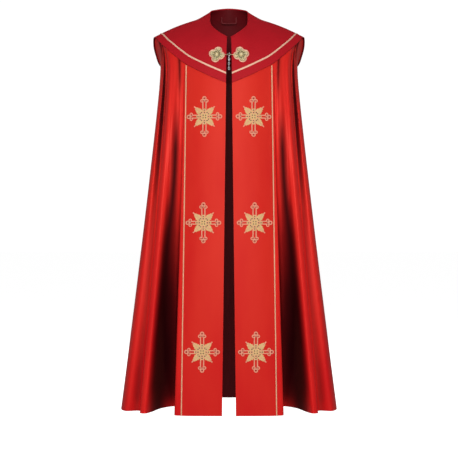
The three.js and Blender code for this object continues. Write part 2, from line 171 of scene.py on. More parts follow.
class Finish:
    """A material being built round one Principled shader."""

    def __init__(self, name, **constants):
        self.material = bpy.data.materials.new(name)
        self.material.use_nodes = True
        self.tree = self.material.node_tree
        self.tree.nodes.clear()
        self.shader = self.tree.nodes.new("ShaderNodeBsdfPrincipled")
        end = self.tree.nodes.new("ShaderNodeOutputMaterial")
        self.tree.links.new(self.shader.outputs[0], end.inputs["Surface"])
        for socket, value in constants.items():
            self.shader.inputs[socket.replace("_", " ")].default_value = value

    def node(self, kind, settings=None, values=None, output=0):
        """Adds a node, sets it up, feeds its sockets and gives one of its outputs."""
        added = self.tree.nodes.new("ShaderNode" + kind)
        for name, value in (settings or {}).items():
            setattr(added, name, value)
        for socket, value in (values or {}).items():
            if isinstance(value, Signal):
                self.tree.links.new(value.socket, added.inputs[socket])
            else:
                added.inputs[socket].default_value = value
        return Signal(self, added.outputs[output])

    def cloth(self):
        """Metres across and down the cut cloth, from the piece's own UV map."""
        uv = self.node("UVMap", {"uv_map": "cloth"})
        split = {0: uv}
        return self.node("SeparateXYZ", None, split, 0), self.node("SeparateXYZ", None, split, 1)

    def place(self):
        return self.node("TexCoord", None, None, "Object")

    def noise(self, vector, scale, detail=2.0, roughness=0.5):
        values = {"Vector": vector, "Scale": scale, "Detail": detail, "Roughness": roughness}
        return self.node("TexNoise", None, values)

    def vector(self, x, y, z=0.0):
        return self.node("CombineXYZ", None, {0: x, 1: y, 2: z})

    def blend(self, first, second, amount):
        """Goes from the first colour to the second as amount goes from 0 to 1."""
        return self.node("Mix", {"data_type": "RGBA"}, {0: amount, 6: first, 7: second}, 2)

    def feed(self, **signals):
        for socket, signal in signals.items():
            self.tree.links.new(signal.socket, self.shader.inputs[socket.replace("_", " ")])
        return self

    def relief(self, height, metres, strength=1.0):
        """Bumps the surface by height times metres."""
        bump = self.node("Bump", None, {"Height": height, "Distance": metres, "Strength": strength})
        return self.feed(Normal=bump)


def rgba(red, green, blue):
    """A colour given as the eye counts it, 0 to 255, turned into linear light."""
    parts = [part / 255 for part in (red, green, blue)]
    linear = [p / 12.92 if p <= 0.04045 else ((p + 0.055) / 1.055) ** 2.4 for p in parts]
    return (*linear, 1.0)


print("shader helpers ready")

# %% [markdown]
# ## Satin
# The cape is duchess satin: a smooth, heavy weave whose threads float along the cloth, so
# light spreads into soft streaks. Two close reds are mottled together, and painted shade, a third
# much darker red, takes over where a fold closes. Slow noise stands for the unevenness of steamed
# cloth.

# %% Satin finishes


def satin(name, bright, deep, painted_fold_shade, gloss, hem=0.0):
    """Satin in two close reds that sinks to a third, much darker red of painted shade where the folds
    close over it.
    """
    finish = Finish(name, Sheen_Weight=0.06, Sheen_Roughness=0.4, Anisotropic=0.4)
    finish.shader.inputs["Sheen Tint"].default_value = rgba(255, 90, 70)
    finish.shader.inputs["Specular Tint"].default_value = rgba(255, 130, 112)
    finish.shader.inputs["Specular IOR Level"].default_value = gloss
    across, down = finish.cloth()
    slow = finish.noise(finish.vector(across * 7, down * 2.2), 1.0, 3.0)
    slub = finish.noise(finish.vector(across * 900, down * 90), 1.0, 2.0)
    ribs = across.wave(1.1 * MM) * 0.5 + 0.5
    mottle = slow.above(0.52, 0.16) * 0.5 + slub * 0.12
    red = finish.blend(bright, deep, mottle + down.above(0.9, 0.4) * 0.45)
    # painted shade: where the openness attribute is low, the base colour turns to the third, darkest
    # red
    openness = finish.node("Attribute", {"attribute_name": "openness"}, None, 2)
    finish.feed(Base_Color=finish.blend(painted_fold_shade, red, openness))
    finish.feed(Roughness=slow * 0.08 + slub * 0.05 + (1 - openness) * 0.4 + 0.3)
    height = slow * 0.5 + slub * 0.05 + ribs * 0.03
    if hem:
        stitch = 1 - abs(down - hem).above(0.6 * MM, 0.4 * MM)
        height = height - stitch * 0.3
    finish.relief(height, 1.0 * MM, 0.7)
    return finish.material


# %% Matte cloth, thread and metal, and every finish of the cope


def matte_weave(name, bright, deep, grain, roughness, metres):
    """A dull woven cloth with a pebbled surface."""
    finish = Finish(name, Sheen_Weight=0.1)
    finish.shader.inputs["Sheen Tint"].default_value = bright
    finish.shader.inputs["Specular IOR Level"].default_value = 0.2
    across, down = finish.cloth()
    pebble = finish.noise(finish.vector(across / grain, down / grain), 1.0, 3.0, 0.6)
    threads = (across.wave(0.9 * MM) + down.wave(0.9 * MM)) * 0.25 + 0.5
    slow = finish.noise(finish.vector(across * 9, down * 9), 1.0, 2.0)
    tone = pebble.above(0.5, 0.14) * 0.6 + slow * 0.5
    finish.feed(Base_Color=finish.blend(bright, deep, tone), Roughness=pebble * 0.15 + roughness)
    finish.relief(pebble * 0.7 + threads * 0.3, metres, 0.8)
    return finish.material


def thread_finish(name, bright, deep, period, roughness=0.42):
    """Silky embroidery thread, in rows that cross the band it covers."""
    finish = Finish(name, Metallic=0.05, Sheen_Weight=0.15)
    finish.shader.inputs["Sheen Tint"].default_value = bright
    across, down = finish.cloth()
    rows = (down + across * 0.35).wave(period) * 0.5 + 0.5
    flecks = finish.noise(finish.vector(across * 700, down * 700), 1.0, 2.0)
    finish.feed(Base_Color=finish.blend(deep, bright, rows * 0.55 + flecks * 0.5))
    finish.feed(Roughness=flecks * 0.15 + roughness)
    finish.relief(rows + flecks * 0.4, 0.25 * MM, 0.8)
    return finish.material


def worn_metal(name, bright, deep, roughness, grain=260.0, metallic=0.6):
    """Plated metal, a little duller and darker in patches."""
    finish = Finish(name, Metallic=metallic)
    here = finish.place()
    patches = finish.noise(here, grain, 3.0)
    specks = finish.noise(here, grain * 9, 2.0)
    finish.feed(Base_Color=finish.blend(bright, deep, patches.above(0.55, 0.2)))
    finish.feed(Roughness=patches * 0.18 + specks * 0.06 + roughness)
    finish.relief(specks, 0.04 * MM, 0.5)
    return finish.material


# the third red of each satin is painted shade for the throats of its folds
cape_red = satin("cape_satin", rgba(246, 46, 38), rgba(224, 24, 30), rgba(44, 0, 8), 0.5, hem=1.36)
orphrey_red = satin("orphrey_satin", rgba(228, 50, 38), rgba(216, 28, 32), rgba(150, 10, 16), 0.22)
lining_red = matte_weave("lining_cloth", rgba(118, 10, 20), rgba(84, 4, 12), 2.2 * MM, 0.5, 0.1 * MM)
yoke_red = matte_weave("yoke_brocade", rgba(206, 24, 38), rgba(180, 14, 28), 2.6 * MM, 0.62, 0.3 * MM)
interlining_cream = matte_weave(
    "interlining_cloth", rgba(232, 224, 208), rgba(214, 204, 186), 2 * MM, 0.85, 0.1 * MM
)
braid_gold = thread_finish("gold_braid", rgba(255, 216, 188), rgba(250, 178, 148), 1.6 * MM)
piping_gold = thread_finish("gold_piping", rgba(255, 214, 172), rgba(232, 156, 116), 2.2 * MM)
star_gold = thread_finish("star_thread", rgba(252, 214, 152), rgba(226, 176, 110), 1.1 * MM)
outline_gold = thread_finish("outline_thread", rgba(255, 190, 156), rgba(238, 142, 112), 1.1 * MM)
knot_red = thread_finish("knot_thread", rgba(120, 22, 20), rgba(72, 8, 12), 1.0 * MM)
gilt = worn_metal("clasp_gilt", rgba(255, 246, 204), rgba(246, 216, 150), 0.3, metallic=0.35)
rose_gilt = worn_metal("clasp_rope_gilt", rgba(255, 208, 180), rgba(244, 170, 136), 0.34, metallic=0.35)
aged_gilt = worn_metal("clasp_ground", rgba(104, 84, 36), rgba(54, 34, 14), 0.42)
steel = worn_metal("chain_steel", rgba(226, 228, 230), rgba(170, 172, 176), 0.2, metallic=0.9)
print("finishes", len(bpy.data.materials))

# %% [markdown]
# ## The garment's lines
# The whole cope hangs from three lines: round the neck, round the yoke's edge and round the
# hem. A smooth curve through a few points gives each line, and a piece of cloth is a grid
# laid on the surface between two lines. w runs round the wearer, from the right front edge
# at 0 over the centre back at 1 to the left front edge at 2, and t runs down a piece.

# %% Sizes, taken from the CAD solids
cape_length = -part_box("panel_front_right")[0].z
hem_half_width = 0.398
hem_half_depth = 0.300
yoke_half_width = 0.277
yoke_half_depth = 0.170
yoke_drop = -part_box("yoke_front_right")[0].z
neck_half_width = 0.073
neck_half_depth = 0.116
neck_rise = 0.087
satin_thickness, lining_thickness, yoke_thickness = 1.6 * MM, 1.0 * MM, 2.2 * MM
interlining_thickness, orphrey_thickness = 0.8 * MM, 1.4 * MM
layer_gap, lining_gap = 0.3 * MM, 0.4 * MM
yoke_bulge = 10 * MM  # the yoke's roundness between the neck and its edge
sewn_from_edge = 6 * MM  # how far in from the yoke's edge the cape is sewn
seam_room, more_beyond = 0.9 * MM, 0.8 * MM  # room in that seam, and what is added past the bands
side_tuck = 34 * MM  # how far the cape falls in from a straight line at the sides
piping_radius = 2.2 * MM
print("length", round(cape_length, 4), "yoke drop", round(yoke_drop, 4))

# %% Lines
NECK = [
    (0.107, -1, -0.57), (0.56, -0.76, -0.28), (0.93, -0.39, 0.08), (1, 0, 0.5),
    (0.96, 0.24, 0.79), (0.65, 0.5, 0.92), (0, 0.67, 1),
]
YOKE_EDGE = [
    (0.038, -0.894, -1), (0.232, -0.882, -0.897), (0.385, -0.841, -0.8),
    (0.565, -0.741, -0.669), (0.696, -0.624, -0.531), (0.877, -0.365, -0.311),
    (1, 0, -0.137), (1.02, 0.28, -0.25), (1, 0.5, -0.39), (0.94, 0.66, -0.57),
    (0.72, 0.83, -0.74), (0.38, 0.95, -0.84), (0, 1, -0.87),
]
# each fold: x and y at the hem as fractions, where it leaves the yoke's edge, how far it is
# pushed back just below the yoke in mm, and whether it opens only lower down
FOLDS = [
    (0.062, -0.583, 0, 0, 0), (0.424, -0.56, 0.25, 0, 0), (0.486, -0.527, 0.258, 0, 0),
    (0.478, -0.38, 0.275, 6, 1), (0.468, 0.0, 0.292, 4, 1), (0.515, 0.2, 0.312, 0, 1),
    (0.62, 0.06, 0.336, -4, 1), (0.712, -0.283, 0.362, -8, 0), (0.762, -0.393, 0.386, -12, 0),
    (0.806, -0.36, 0.406, -6, 0), (0.8, -0.22, 0.421, 26, 0), (0.838, -0.17, 0.4375, 18, 0),
    (0.94, -0.2, 0.456, -4, 0), (1, -0.03, 0.48, -4, 0), (0.98, 0.17, 0.51, 0, 0),
    (0.879, 0.3, 0.548, 0, 0), (0.919, 0.5, 0.595, 0, 0), (0.787, 0.55, 0.655, -4, 0),
    (0.787, 0.783, 0.71, 4, 0), (0.63, 0.75, 0.77, -12, 0), (0.525, 0.95, 0.83, 8, 0),
    (0.367, 0.867, 0.885, -10, 0), (0.21, 1, 0.945, 8, 0), (0, 0.967, 1, -6, 0),
]
fold_count = len(FOLDS) - 1


def smooth_line(rows, sizes):
    """A smooth line through rows of fractions, as a function of w from 0 to 1."""
    beyond = np.array(rows[-2]) * (-1, 1, 1)
    points = np.vstack([rows, beyond]) * sizes
    points = np.vstack([2 * points[0] - points[1], points, 2 * points[-1] - points[-2]])
    steps = np.linalg.norm(np.diff(points, axis=0), axis=1) ** 0.5

    def at(w):
        along = np.clip(w, 0, 1) * (len(rows) - 1)
        i = np.minimum(along.astype(int), len(rows) - 1)
        part = (along - i)[..., None]
        p0, p1, p2, p3 = (points[i + k] for k in range(4))
        d0, d1, d2 = (steps[i + k][..., None] for k in range(3))
        leave = ((p1 - p0) / d0 - (p2 - p0) / (d0 + d1) + (p2 - p1) / d1) * d1
        arrive = ((p2 - p1) / d1 - (p3 - p1) / (d1 + d2) + (p3 - p2) / d2) * d1
        cubic = (
            p1,
            leave,
            -3 * p1 + 3 * p2 - 2 * leave - arrive,
            2 * p1 - 2 * p2 + leave + arrive,
        )
        return cubic[0] + part * (cubic[1] + part * (cubic[2] + part * cubic[3]))

    return at


neck_line = smooth_line(NECK, (neck_half_width, neck_half_depth, neck_rise))
yoke_edge = smooth_line(YOKE_EDGE, (yoke_half_width, yoke_half_depth, yoke_drop))
hem_line = smooth_line([(x, y, 0) for x, y, *_ in FOLDS], (hem_half_width, hem_half_depth, 0))
print("half the hem is", round(float(hem_line(np.array([1.0]))[0, 1]), 3), "m deep at the back")


# %% Surfaces
def both_halves(half):
    """Carries a surface of the right half on round the back."""

    def whole(w, t):
        w, t = np.broadcast_arrays(np.asarray(w, float), np.asarray(t, float))
        points = half(np.where(w > 1, 2 - w, w), t)
        points[..., 0] = np.where(w > 1, -points[..., 0], points[..., 0])
        return points

    return whole


def outward_of(surface, w, t):
    """The surface's outward unit normals."""
    step = 1e-4
    around = surface(np.minimum(w + step, 2), t) - surface(np.maximum(w - step, 0), t)
    down = surface(w, np.minimum(t + step, 1)) - surface(w, np.maximum(t - step, 0))
    normal = np.cross(down, around)
    return normal / np.linalg.norm(normal, axis=-1, keepdims=True)


def smooth_step(value, start, end):
    part = np.clip((value - start) / (end - start), 0, 1)
    return part * part * (3 - 2 * part)


def yoke_half(w, t):
    t = t[..., None]
    points = neck_line(w) * (1 - t) + yoke_edge(w) * t
    outward = points.copy()
    outward[..., 2] = yoke_half_depth
    outward /= np.linalg.norm(outward, axis=-1, keepdims=True)
    return points + outward * yoke_bulge * np.sin(np.pi * t)


yoke = both_halves(yoke_half)


def cape_top(w):
    """The line under the yoke's edge that the cape is sewn to."""
    edge = np.interp(w, np.arange(fold_count + 1) / fold_count, [f[2] for f in FOLDS])
    slope = np.linalg.norm(neck_line(edge) - yoke_edge(edge), axis=-1)
    t = 1 - sewn_from_edge / slope
    band = orphrey_thickness + interlining_thickness + 2 * layer_gap
    beyond = smooth_step(w * fold_count, 1, 6)
    depth = yoke_thickness + layer_gap + lining_thickness + seam_room
    depth = depth + band * (1 - beyond) + more_beyond * beyond
    return yoke(edge, t) - outward_of(yoke, edge, t) * depth[..., None]


def each_fold(column, w):
    """A column of the fold table, eased from fold to fold."""
    values = np.array([fold[column] for fold in FOLDS], float)
    along = np.clip(w, 0, 1) * fold_count
    i = np.minimum(along.astype(int), fold_count - 1)
    part = smooth_step(along - i, 0, 1)
    return values[i] * (1 - part) + values[i + 1] * part


band_top = float(cape_top(np.array([1 / fold_count]))[0, 0])


def cape_half(w, t):
    """The right half: it leaves the yoke's edge flat, then its folds open towards the hem."""
    top, hem = cape_top(w), hem_line(w)
    leaves = 1 - np.exp(-t / 0.04)
    beside_band = np.maximum(0, (top[..., 0] - band_top) / (yoke_half_width - band_top))
    tuck = side_tuck * beside_band**1.3 * (1 - t**1.5) * leaves
    x = top[..., 0] * (1 - t) + hem[..., 0] * t - tuck
    late = each_fold(4, w)
    opened = t**1.4 * (1 - late) + smooth_step(t, 0.16, 1.1) * late
    gather = each_fold(3, w) * MM * leaves * (1 - smooth_step(t, 0.12, 0.7))
    y = top[..., 1] * (1 - opened) + hem[..., 1] * opened + gather
    z = top[..., 2] * (1 - t) - cape_length * t
    return np.stack([x, y, z], axis=-1)


cape = both_halves(cape_half)
print("right shoulder point", [round(float(v), 3) for v in yoke_edge(np.array([0.5]))[0]])


# %% [markdown]
# ## How open each fold is, for painted shade
# Deep in a fold, satin sees mostly itself and falls into shade, which is painted into its colour
# as a dark maroon. Rays cast from a coarse copy of the cape tell how much open air each place
# sees. Four folds close tighter in cloth than they do here, so painted shade darkens their
# throats further, from a table. The satin's colour reads the two together as painted shade.


# %% Openness of the folds
shade_columns, shade_rows, openness_rays, smoothing_passes = 138, 28, 24, 4
ray_start, ray_length = 3 * MM, 0.6


def openness_of(surface, columns, rows, rays):
    """Shares of open air seen from a grid of places on the right half, from 0 to 1."""
    bm = bmesh.new()
    bmesh.ops.create_grid(bm, x_segments=2 * columns, y_segments=rows, size=0.5)
    flat = np.array([vertex.co for vertex in bm.verts])
    for vertex, point in zip(bm.verts, surface(1 + 2 * flat[:, 0], 0.5 - flat[:, 1])):
        vertex.co = point
    tree = BVHTree.FromBMesh(bm)
    bm.free()
    w, t = np.meshgrid(np.linspace(0, 1, columns + 1), np.linspace(0, 1, rows + 1), indexing="ij")
    points, normals = surface(w, t), outward_of(surface, w, t)
    turn = np.arange(rays) * math.pi * (3 - math.sqrt(5))
    lift = 1 - (np.arange(rays) + 0.5) / rays
    spread = np.sqrt(1 - lift**2)
    around = np.stack([spread * np.cos(turn), spread * np.sin(turn), lift], axis=1)
    seen = np.zeros(w.shape)
    for i, j in np.ndindex(*w.shape):
        facing = Vector(normals[i, j]).to_track_quat("Z", "Y").to_matrix()
        start = Vector(points[i, j] + normals[i, j] * ray_start)
        for ray in around:
            if tree.ray_cast(start, facing @ Vector(ray), ray_length)[0] is None:
                seen[i, j] += ray[2]
    return seen / lift.sum()


openness = openness_of(cape, shade_columns, shade_rows, openness_rays)
for _ in range(smoothing_passes):
    padded = np.pad(openness, ((1, 1), (0, 0)), mode="edge")
    openness = (padded[:-2] + 2 * padded[1:-1] + padded[2:]) / 4


def openness_at(w, t):
    """The openness between the grid's places."""
    x = np.clip(np.where(w > 1, 2 - w, w), 0, 1) * shade_columns
    y = np.clip(t, 0, 1) * shade_rows
    i, j = np.minimum(x.astype(int), shade_columns - 1), np.minimum(y.astype(int), shade_rows - 1)
    a, b = x - i, y - j
    low_row = openness[i, j] * (1 - a) + openness[i + 1, j] * a
    high_row = openness[i, j + 1] * (1 - a) + openness[i + 1, j + 1] * a
    return low_row * (1 - b) + high_row * b


# each throat, a band of painted shade: its middle in w at the top and at the hem, its width,
# how much painted shade it adds above and below, and the two places in t between which that changes
THROATS = [
    (0.248, 0.278, 0.032, 0, 0.96, 0.1, 0.27), (0.218, 0.218, 0.03, 0.85, 0, 0.03, 0.15),
    (0.482, 0.482, 0.016, 0.9, 0.45, 0.25, 0.5), (0.535, 0.535, 0.035, 0.95, 0, 0.01, 0.09),
]
closed_share, open_share, slide_span = 0.16, 0.74, (0.3, 0.6)


def fold_light(w, t):
    """How much of the satin's own red shows: 1 in the open, 0 in the throat of a fold, where painted
    shade takes over.
    """
    w = np.clip(np.where(w > 1, 2 - w, w), 0, 1)
    share = (openness_at(w, t) - closed_share) / (open_share - closed_share)
    light = np.clip(share, 0, 1) ** 1.5
    slide = smooth_step(t, *slide_span)
    for top, hem, width, above, below, start, end in THROATS:
        middle = top + (hem - top) * slide
        dark = above + (below - above) * smooth_step(t, start, end)
        light = light * (1 - dark * np.exp(-(((w - middle) / width) ** 2)))
    return light


print("openness from", round(openness.min(), 2), "to", round(openness.max(), 2))

# %% [markdown]
# ## Laying cloth
# A grid, finer across the folds than along them, is laid on a surface and given its
# thickness. It keeps a UV map in metres, so that a weave follows the cloth and not the room.

# %% Cloth maker
crease_angle = math.radians(50)


def keep(bm, name, materials, body="cope"):
    """Turns a bmesh into an object that rides on a body."""
    mesh = bpy.data.meshes.new(name)
    bm.to_mesh(mesh)
    bm.free()
    piece = bpy.data.objects.new(name, mesh)
    bpy.context.scene.collection.objects.link(piece)
    for material in materials:
        mesh.materials.append(material)
    mesh.shade_smooth()
    mesh.set_sharp_from_angle(angle=crease_angle)
    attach(piece, body)
    return piece


def lay(bm, surface, w, t, depth):
    """Moves a bmesh's vertices on to a surface, each at its own w, t and depth."""
    points = surface(w, t) + outward_of(surface, w, t) * np.asarray(depth)[..., None]
    for vertex, point in zip(bm.verts, points):
        vertex.co = point


def cloth(name, surface, span, reach, depths, grid, material, cut, insets=(0.0, 0.0), crown=0.0):
    """A layer of cloth between two depths. cut is its flat width and length."""
    bm = bmesh.new()
    uv = bm.loops.layers.uv.new("cloth")
    bmesh.ops.create_grid(bm, x_segments=grid[0], y_segments=grid[1], size=0.5, calc_uvs=True)
    flat = np.array([vertex.co for vertex in bm.verts])
    across = insets[0] + (flat[:, 0] + 0.5) * (cut[0] - insets[0] - insets[1])
    w = span[0] + (span[1] - span[0]) * across / cut[0]
    top, bottom = reach(w)
    t = top + (bottom - top) * (0.5 - flat[:, 1])
    lay(bm, surface, w, t, depths[0] - crown * (2 * flat[:, 1]) ** 2)
    # painted shade: each vertex keeps fold_light's share, and the satin darkens where it is low
    seen = bm.verts.layers.float.new("openness")
    shares = fold_light(w, t) if surface is cape else np.ones(len(w))
    for vertex, share in zip(bm.verts, shares):
        vertex[seen] = share
    for face in bm.faces:
        for loop in face.loops:
            loop[uv].uv = (loop[uv].uv[0] * cut[0], (1 - loop[uv].uv[1]) * cut[1])
    face_outwards(bm, surface, w, t)
    area = sum(face.calc_area() for face in bm.faces)
    bmesh.ops.solidify(bm, geom=bm.faces, thickness=depths[0] - depths[1])
    print(name, "area", round(area, 4), "m2")
    return keep(bm, name, [material])


def face_outwards(bm, surface, w, t):
    """Turns a laid grid's faces so that they look the surface's way."""
    bm.verts.index_update()
    bm.normal_update()
    middle = list(bm.faces)[len(bm.faces) // 2]
    at = [middle.verts[0].index]
    if middle.normal.dot(Vector(outward_of(surface, w[at], t[at])[0])) < 0:
        bmesh.ops.reverse_faces(bm, faces=bm.faces)


def whole_height(w):
    return np.zeros_like(w), np.ones_like(w)


def other_side(span):
    return 2 - span[1], 2 - span[0]


# %% [markdown]
# ## The cape
# Each half of the cape is cut as a quarter ring of satin, lined, and hung from the yoke. The
# front strip and the back fall in soft columns. One fine grid for each half stands in for
# its five CAD panels and runs over them without a break.

# %% Cape and lining
SIDES = {"right": lambda span: span, "left": other_side}
for side, turned in SIDES.items():
    panels = [f"panel_{n}_{side}" for n in ("front", "side_front", "side", "side_back", "back")]
    span = turned((0.0, 1.0))
    satin_half = cloth(
        f"cape_{side}", cape, span, whole_height, (0, -satin_thickness), (250, 120),
        cape_red, (1.24, 1.42),
    )
    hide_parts(*panels)
    under = -satin_thickness - lining_gap
    lined = cloth(
        f"lining_{side}", cape, span, whole_height, (under, under - lining_thickness),
        (150, 60), lining_red, (1.2, 1.4),
    )
    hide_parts(f"cape_lining_{side}")

# %% [markdown]
# ## The orphreys
# Two stiffened bands run down the fronts, satin over a slightly narrower interlining. A
# corded gold piping closes the outer edge, and three embroidered crosses lie on each.

# %% Orphrey bands
band_edge = 1 / fold_count
beside_piping = 3.0 * MM
band_face = 2 * layer_gap + interlining_thickness + orphrey_thickness
edge_inset, stiff_inset = 0.4 * MM, 1.2 * MM
for side, turned in SIDES.items():
    insets = (edge_inset, beside_piping) if side == "right" else (beside_piping, edge_inset)
    band = cloth(
        f"orphrey_band_{side}", cape, turned((0.0, band_edge)), whole_height,
        (band_face, band_face - orphrey_thickness), (40, 200), orphrey_red, (0.145, 1.19), insets,
    )
    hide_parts(f"orphrey_{side}")
    stiff = cloth(
        f"interlining_{side}", cape, turned((0.0, band_edge)), whole_height,
        (layer_gap + interlining_thickness, layer_gap), (12, 60), interlining_cream,
        (0.145, 1.19), tuple(inset + stiff_inset for inset in insets),
    )
    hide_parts(f"orphrey_interlining_{side}")


# %% [markdown]
# ## Cords
# Piping, wire and embroidered outlines are all one narrow oval profile carried along a path.
# A grid is rolled round the path, so the cord has a UV map: across it and along it.


# %% Carrying a profile along a path
def carry(bm, path, width, height, up=(0, 0, 1), closed=False, sides=8, material=0):
    """Adds a cord of oval section, width by height, along a path of points."""
    path = np.asarray(path, float)
    count = len(path)
    following = np.roll(path, -1, axis=0)
    ahead = following - np.roll(path, 1, axis=0) if closed else np.gradient(path, axis=0)
    ahead /= np.linalg.norm(ahead, axis=1, keepdims=True)
    side = np.cross(ahead, np.broadcast_to(np.asarray(up, float), path.shape))
    side /= np.linalg.norm(side, axis=1, keepdims=True)
    over = np.cross(side, ahead)
    rows = count if closed else count - 1
    lengths = np.concatenate([[0], np.cumsum(np.linalg.norm(following - path, axis=1))])
    roll = bmesh.new()
    uv = roll.loops.layers.uv.new("cloth")
    bmesh.ops.create_grid(roll, x_segments=sides, y_segments=rows, size=0.5, calc_uvs=True)
    girth = math.pi * ((width + height) / 2 if np.isscalar(width) else float(np.mean(width)))
    widths, heights = np.broadcast_to(width, count), np.broadcast_to(height, count)
    for face in roll.faces:
        face.material_index = material
        for loop in face.loops:
            u, v = loop[uv].uv
            loop[uv].uv = (u * girth, lengths[round(v * rows)])
    for vertex in roll.verts:
        turn = 2 * math.pi * (vertex.co.x + 0.5)
        i = round((vertex.co.y + 0.5) * rows) % count
        aside = side[i] * (math.cos(turn) * widths[i] / 2)
        vertex.co = path[i] + aside + over[i] * (math.sin(turn) * heights[i] / 2)
    bmesh.ops.remove_doubles(roll, verts=roll.verts, dist=1e-6)
    if not closed:
        ends = [edge for edge in roll.edges if edge.is_boundary]
        bmesh.ops.holes_fill(roll, edges=ends, sides=sides)
    bmesh.ops.recalc_face_normals(roll, faces=roll.faces)
    pour(roll, bm)


def pour(source, target):
    """Adds one bmesh's faces to another and frees the first."""
    carrier = bpy.data.meshes.new("carrier")
    source.to_mesh(carrier)
    source.free()
    target.from_mesh(carrier)
    bpy.data.meshes.remove(carrier)


def fresh():
    """An empty bmesh with the cloth UV map."""
    bm = bmesh.new()
    bm.loops.layers.uv.new("cloth")
    return bm


def add_ball(bm, place, radius, flatness=1.0, material=0):
    """Adds a small ball, pressed to a share of its height."""
    ball = fresh()
    bmesh.ops.create_icosphere(ball, subdivisions=2, radius=radius)
    bmesh.ops.scale(ball, vec=(1, 1, flatness), verts=ball.verts)
    bmesh.ops.translate(ball, vec=place, verts=ball.verts)
    for face in ball.faces:
        face.material_index = material
    pour(ball, bm)


# %% Piping beside each orphrey
for side, w in (("right", band_edge), ("left", 2 - band_edge)):
    t = np.linspace(0.007, 1.0, 160)
    line = cape(w, t) + outward_of(cape, np.full_like(t, w), t) * beside_piping
    bm = fresh()
    carry(bm, line, 2 * piping_radius, 2 * piping_radius, up=(0, -1, 0), sides=12)
    cord = keep(bm, f"corded_piping_{side}", [piping_gold])
    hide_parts(f"piping_{side}")

# %% [markdown]
# ## The yoke
# A shaped yoke of matte brocade lies over the shoulders, cut in two fronts and a back that
# are sewn along the shoulders. Gold braid follows its outer edge, and the neck is bound with
# a narrow strip of the same cloth.

# %% Yoke, lining, braid and binding
shoulder = 0.52
YOKE_CUTS = {
    "front_right": ((0.0, shoulder), (0.36, 0.17), 110),
    "back": ((shoulder, 2 - shoulder), (0.62, 0.25), 150),
    "front_left": ((2 - shoulder, 2.0), (0.36, 0.17), 110),
}
seam_allowance = 0.2 * MM
for name, (span, cut, columns) in YOKE_CUTS.items():
    top_cloth = cloth(
        f"yoke_cloth_{name}", yoke, span, whole_height, (0, -yoke_thickness),
        (columns, 60), yoke_red, cut, (seam_allowance, seam_allowance),
    )
    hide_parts(f"yoke_{name}")
    under = -yoke_thickness - layer_gap
    inner = cloth(
        f"yoke_inside_{name}", yoke, span, whole_height, (under, under - lining_thickness),
        (columns // 2, 24), lining_red, cut, (seam_allowance, seam_allowance),
    )
    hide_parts(f"yoke_lining_{name}")

braid_width, braid_from_edge = 6 * MM, 28 * MM


def along_braid(w):
    half = np.where(w > 1, 2 - w, w)
    slope = np.linalg.norm(neck_line(half) - yoke_edge(half), axis=-1)
    return 1 - (braid_from_edge + braid_width) / slope, 1 - braid_from_edge / slope


braid = cloth(
    "gold_yoke_braid", yoke, (0, 2), along_braid, (1.5 * MM, 0.3 * MM), (520, 8),
    braid_gold, (1.24, braid_width), crown=0.5 * MM,
)
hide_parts("yoke_braid")

binding_width, binding_height, binding_over = 5.2 * MM, 4.2 * MM, 1.4 * MM
w = np.linspace(0, 2, 240)
t = np.zeros_like(w)
step_down = yoke(w, t + 0.01) - yoke(w, t)
step_down /= np.linalg.norm(step_down, axis=1, keepdims=True)
outward = outward_of(yoke, w, t)
edge_line = yoke(w, t) - step_down * binding_over - outward * yoke_thickness / 2
bm = fresh()
carry(bm, edge_line, binding_width, binding_height, up=outward, sides=12)
binding = keep(bm, "bound_neck", [yoke_red])
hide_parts("neck_binding")

# %% [markdown]
# ## The embroidered crosses
# Each cross is machine embroidery: padded satin stitch in gold for a four-pointed star, rose
# gold outlines for the budded arms, and dark red knots in the eyes between them. It is drawn
# flat, then every vertex is laid on the orphrey, so it follows the band's curve.


# %% Drawing one cross, flat
def ring_path(x, y, radius, count=18):
    turns = np.arange(count) * 2 * np.pi / count
    return np.stack([x + radius * np.cos(turns), y + radius * np.sin(turns), 0 * turns], axis=1)


def line_path(points, per=4):
    """Straight runs between points, divided so that a cord can follow a curved ground."""
    points = np.array([(*p, 0) for p in points], float)
    runs = [a + (b - a) * k / per for a, b in zip(points, points[1:]) for k in range(per)]
    return np.array([*runs, points[-1]])


def padded_patch(bm, outline, height, material, crown=0.45):
    """Fills an outline and raises it, the crown's share of it only inside a narrow rim."""
    patch = bmesh.new()
    uv = patch.loops.layers.uv.new("cloth")
    corners = [patch.verts.new((x, y, 0)) for x, y in outline]
    fill = bmesh.ops.contextual_create(patch, geom=corners)["faces"]
    if fill[0].normal.z < 0:
        bmesh.ops.reverse_faces(patch, faces=fill)
    grown = bmesh.ops.extrude_face_region(patch, geom=fill, use_keep_orig=True)["geom"]
    lid = [g for g in grown if isinstance(g, bmesh.types.BMFace)]
    raised = list({v for f in lid for v in f.verts})
    bmesh.ops.translate(patch, verts=raised, vec=(0, 0, height * (1 - crown)))
    bmesh.ops.inset_region(
        patch, faces=lid, thickness=1.1 * MM, depth=height * crown, use_even_offset=True
    )
    for face in patch.faces:
        face.material_index = material
        for loop in face.loops:
            loop[uv].uv = loop.vert.co.xy
    bmesh.ops.triangulate(patch, faces=[f for f in patch.faces if len(f.verts) > 4])
    bmesh.ops.recalc_face_normals(patch, faces=patch.faces)
    pour(patch, bm)


def turned_points(points, quarter, unit=1.0):
    """Points turned about the middle by quarter turns, and scaled."""
    for _ in range(quarter):
        points = [(-y, x) for x, y in points]
    return [(x * unit, y * unit) for x, y in points]


STAR, OUTLINE, KNOT = 0, 1, 2
# each arm of the cross: how far it reaches and half its width, in mm
ARMS = ((63.5, 6.9), (73.0, 7.5), (63.5, 6.9), (73.0, 7.5))
star_reach = 25  # mm: details nearer the middle are raised as high as the star
star_height, on_star, on_band = 1.5 * MM, 1.5 * MM, 0.7 * MM


